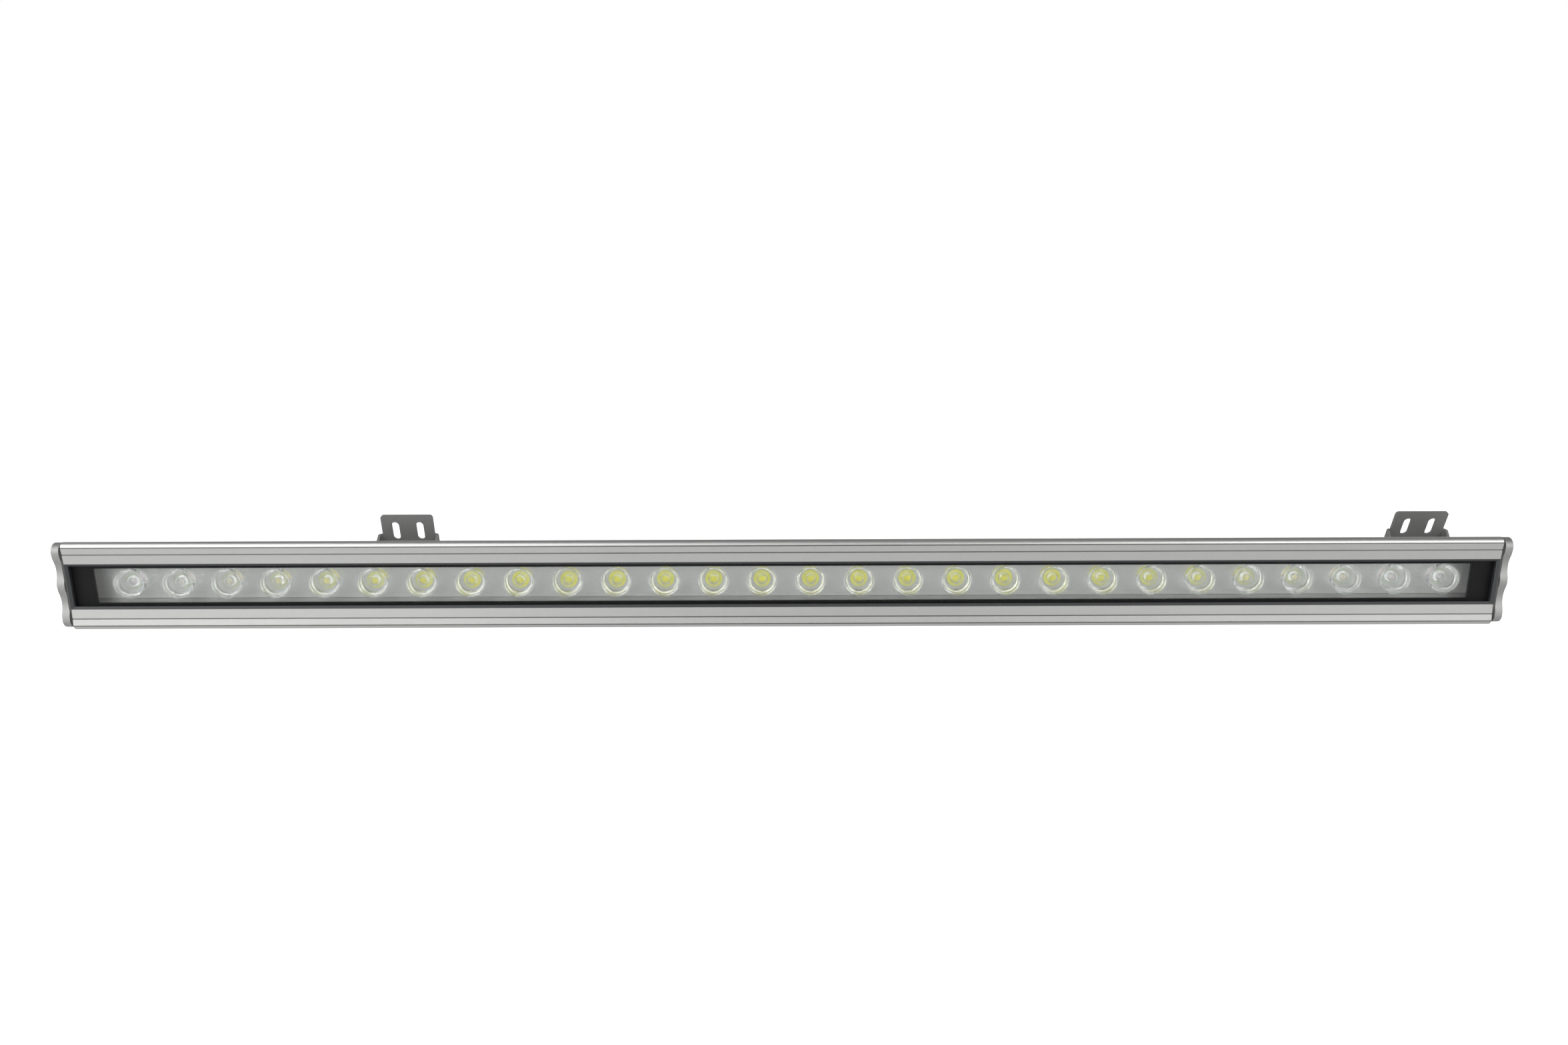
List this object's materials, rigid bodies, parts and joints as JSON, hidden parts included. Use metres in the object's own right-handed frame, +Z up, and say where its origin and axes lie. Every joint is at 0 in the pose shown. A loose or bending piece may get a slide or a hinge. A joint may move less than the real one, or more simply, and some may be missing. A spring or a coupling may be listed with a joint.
{
  "type": "linear wall washer light",
  "caption": "Long outdoor wall washer: finned aluminium housing with lensed LEDs behind a sealed window, carried on sliding and tilting slotted wall brackets.",
  "frame": {"origin": "middle of the rear track's mouth, in the plane of the housing's rear face", "axes": "+X along the lamp, -Y the way the light leaves, +Z up"},
  "size_m": [1.0138, 0.0752, 0.0668],
  "materials": {
    "anodised_aluminium": "sand-blasted, clear anodised, satin",
    "cast_aluminium": "die-cast, blasted, satin",
    "front_glass": "toughened, polished",
    "black_print": "black mask, satin",
    "sealant": "cured silicone, dull",
    "board_white": "white solder resist on aluminium",
    "thermal_strip": "soft, dull",
    "led_ceramic": "white ceramic",
    "phosphor": "yellow silicone",
    "lens_acrylic": "clear moulded acrylic, polished",
    "circuit_board": "green solder resist",
    "coil_tape": "yellow tape over a ferrite core",
    "terminal_plastic": "moulded",
    "capacitor_sleeve": "shrink sleeve",
    "pin_metal": "tinned",
    "end_rubber": "moulded, dull",
    "stainless": "plain",
    "gland_plastic": "moulded polyamide",
    "gland_rubber": "moulded, dull",
    "bracket_steel": "grey coating, satin"
  },
  "bodies": {
    "lamp": {"housing": "anodised_aluminium", "front_glass": "front_glass", "window_mask": "black_print", "glass_seal": "sealant", "led_board": "board_white", "thermal_strip": "thermal_strip", "led_chips": "led_ceramic", "led_domes": "phosphor", "lenses": "lens_acrylic", "driver_board": "circuit_board", "driver_coil": "coil_tape", "driver_terminals": "terminal_plastic", "driver_capacitor": "capacitor_sleeve", "led_pins": "pin_metal", "end_gasket_left": "end_rubber", "end_cap_left": "cast_aluminium", "end_gasket_right": "end_rubber", "end_cap_right": "cast_aluminium", "cap_screws": "stainless", "gland_body": "gland_plastic", "gland_nut": "gland_plastic", "gland_seal": "gland_rubber"},
    "left_carriage": {"track_clip_left": "bracket_steel", "track_bolt_left": "stainless", "track_nut_left": "stainless", "pivot_bolts_left": "stainless"},
    "left_bracket": {"swivel_bracket_left": "bracket_steel"},
    "right_carriage": {"track_clip_right": "bracket_steel", "track_bolt_right": "stainless", "track_nut_right": "stainless", "pivot_bolts_right": "stainless"},
    "right_bracket": {"swivel_bracket_right": "bracket_steel"}
  },
  "joints": [
    {"name": "left_slide", "type": "slide", "parent": "lamp", "child": "left_carriage", "axis": [1, 0, 0], "range_m": [-0.2, 0.247]},
    {"name": "left_tilt", "type": "hinge", "parent": "left_carriage", "child": "left_bracket", "pos_m": [-0.277, 0.011, 0], "axis": [1, 0, 0], "range_deg": [-70, 50]},
    {"name": "right_slide", "type": "slide", "parent": "lamp", "child": "right_carriage", "axis": [1, 0, 0], "range_m": [-0.439, 0.008]},
    {"name": "right_tilt", "type": "hinge", "parent": "right_carriage", "child": "right_bracket", "pos_m": [0.469, 0.011, 0], "axis": [1, 0, 0], "range_deg": [-79, 41]}
  ]
}
